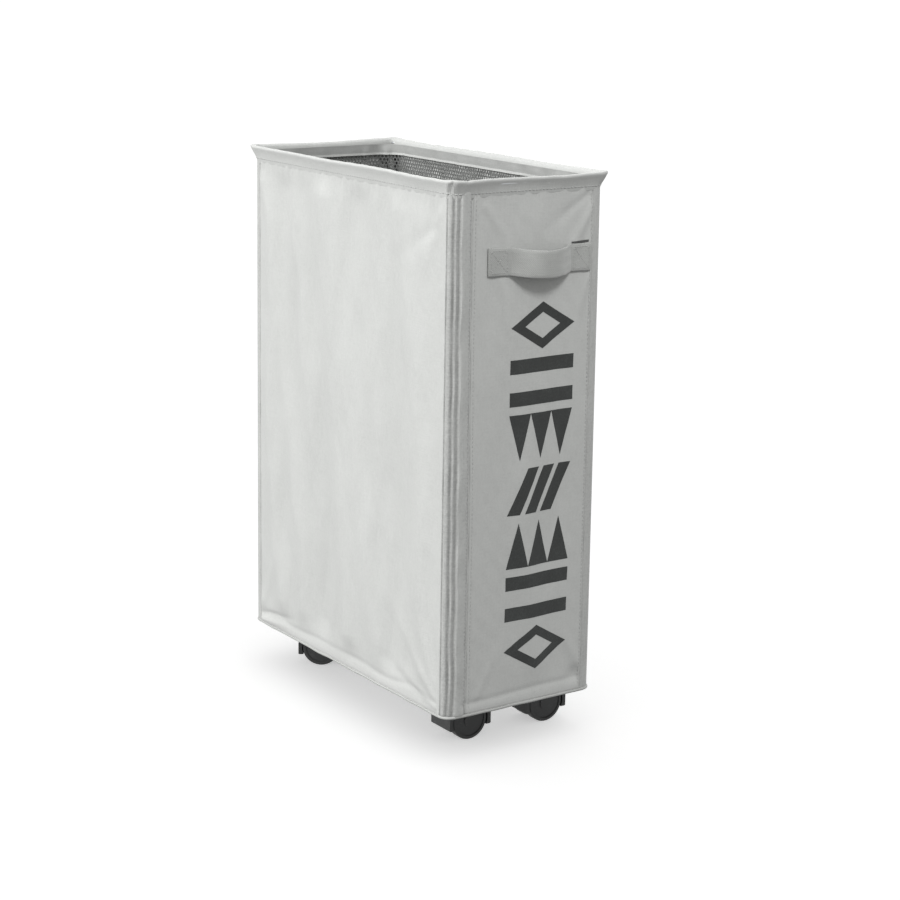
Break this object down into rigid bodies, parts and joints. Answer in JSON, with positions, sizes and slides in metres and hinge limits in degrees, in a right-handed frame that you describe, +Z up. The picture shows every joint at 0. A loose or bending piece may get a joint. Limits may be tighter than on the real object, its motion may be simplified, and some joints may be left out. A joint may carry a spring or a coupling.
{
  "type": "laundry hamper",
  "caption": "Slim rectangular cloth laundry hamper with a wire rim, corner rods, a mesh collar and webbing handles, on swivelling twin-wheel casters.",
  "frame": {"origin": "centre of the footprint, on the floor under the bag", "axes": "+Z up; +Y along the long side, away from the printed narrow face; +X across the narrow face, to the right of a person who looks at the printed face"},
  "size_m": [0.1884, 0.416, 0.575],
  "materials": {
    "cloth": "matte",
    "hem_cloth": "matte",
    "sleeve_cloth": "matte",
    "collar_cloth": "matte",
    "mesh": "matte",
    "lining": "matte",
    "webbing": "matte",
    "ink": "matte",
    "board": "matte",
    "wire": "satin",
    "cap_plastic": "matte",
    "hood_plastic": "satin",
    "wheel_plastic": "matte",
    "caster_steel": "satin"
  },
  "bodies": {
    "bag": {"front_panel": "cloth", "back_panel": "cloth", "left_panel": "cloth", "right_panel": "cloth", "front_hem": "hem_cloth", "back_hem": "hem_cloth", "left_hem": "hem_cloth", "right_hem": "hem_cloth", "corner_sleeve_front_left": "sleeve_cloth", "corner_sleeve_front_right": "sleeve_cloth", "corner_sleeve_back_left": "sleeve_cloth", "corner_sleeve_back_right": "sleeve_cloth", "rim_wire": "wire", "corner_rod_front_left": "wire", "corner_rod_front_right": "wire", "corner_rod_back_left": "wire", "corner_rod_back_right": "wire", "rod_caps": "cap_plastic", "collar_band": "collar_cloth", "mesh_collar": "mesh", "bag_floor": "cloth", "bottom_piping": "hem_cloth", "base_board": "board", "floor_lining": "lining", "front_handle": "webbing", "back_handle": "webbing", "front_print": "ink", "socket_front_left": "cap_plastic", "stem_front_left": "caster_steel", "grip_ring_front_left": "caster_steel", "socket_front_right": "cap_plastic", "stem_front_right": "caster_steel", "grip_ring_front_right": "caster_steel", "socket_back_left": "cap_plastic", "stem_back_left": "caster_steel", "grip_ring_back_left": "caster_steel", "socket_back_right": "cap_plastic", "stem_back_right": "caster_steel", "grip_ring_back_right": "caster_steel"},
    "caster_front_left": {"hood_front_left": "hood_plastic", "axle_front_left": "caster_steel"},
    "wheel_near_front_left": {"near_wheel_front_left": "wheel_plastic"},
    "wheel_far_front_left": {"far_wheel_front_left": "wheel_plastic"},
    "caster_front_right": {"hood_front_right": "hood_plastic", "axle_front_right": "caster_steel"},
    "wheel_near_front_right": {"near_wheel_front_right": "wheel_plastic"},
    "wheel_far_front_right": {"far_wheel_front_right": "wheel_plastic"},
    "caster_back_left": {"hood_back_left": "hood_plastic", "axle_back_left": "caster_steel"},
    "wheel_near_back_left": {"near_wheel_back_left": "wheel_plastic"},
    "wheel_far_back_left": {"far_wheel_back_left": "wheel_plastic"},
    "caster_back_right": {"hood_back_right": "hood_plastic", "axle_back_right": "caster_steel"},
    "wheel_near_back_right": {"near_wheel_back_right": "wheel_plastic"},
    "wheel_far_back_right": {"far_wheel_back_right": "wheel_plastic"}
  },
  "joints": [
    {"name": "swivel_front_left", "type": "hinge", "parent": "bag", "child": "caster_front_left", "pos_m": [-0.048, -0.131, 0.035], "axis": [0, 0, 1], "continuous": true},
    {"name": "roll_near_front_left", "type": "hinge", "parent": "caster_front_left", "child": "wheel_near_front_left", "pos_m": [-0.03, -0.131, 0.0205], "axis": [0, -1, 0], "continuous": true},
    {"name": "roll_far_front_left", "type": "hinge", "parent": "caster_front_left", "child": "wheel_far_front_left", "pos_m": [-0.03, -0.131, 0.0205], "axis": [0, -1, 0], "continuous": true},
    {"name": "swivel_front_right", "type": "hinge", "parent": "bag", "child": "caster_front_right", "pos_m": [0.048, -0.131, 0.035], "axis": [0, 0, 1], "continuous": true},
    {"name": "roll_near_front_right", "type": "hinge", "parent": "caster_front_right", "child": "wheel_near_front_right", "pos_m": [0.066, -0.131, 0.0205], "axis": [0, -1, 0], "continuous": true},
    {"name": "roll_far_front_right", "type": "hinge", "parent": "caster_front_right", "child": "wheel_far_front_right", "pos_m": [0.066, -0.131, 0.0205], "axis": [0, -1, 0], "continuous": true},
    {"name": "swivel_back_left", "type": "hinge", "parent": "bag", "child": "caster_back_left", "pos_m": [-0.048, 0.149, 0.035], "axis": [0, 0, 1], "continuous": true},
    {"name": "roll_near_back_left", "type": "hinge", "parent": "caster_back_left", "child": "wheel_near_back_left", "pos_m": [-0.03325, 0.13868, 0.0205], "axis": [-0.5736, -0.8192, 0], "continuous": true},
    {"name": "roll_far_back_left", "type": "hinge", "parent": "caster_back_left", "child": "wheel_far_back_left", "pos_m": [-0.03325, 0.13868, 0.0205], "axis": [-0.5736, -0.8192, 0], "continuous": true},
    {"name": "swivel_back_right", "type": "hinge", "parent": "bag", "child": "caster_back_right", "pos_m": [0.048, 0.149, 0.035], "axis": [0, 0, 1], "continuous": true},
    {"name": "roll_near_back_right", "type": "hinge", "parent": "caster_back_right", "child": "wheel_near_back_right", "pos_m": [0.06431, 0.15661, 0.0205], "axis": [0.4226, -0.9063, 0], "continuous": true},
    {"name": "roll_far_back_right", "type": "hinge", "parent": "caster_back_right", "child": "wheel_far_back_right", "pos_m": [0.06431, 0.15661, 0.0205], "axis": [0.4226, -0.9063, 0], "continuous": true}
  ]
}
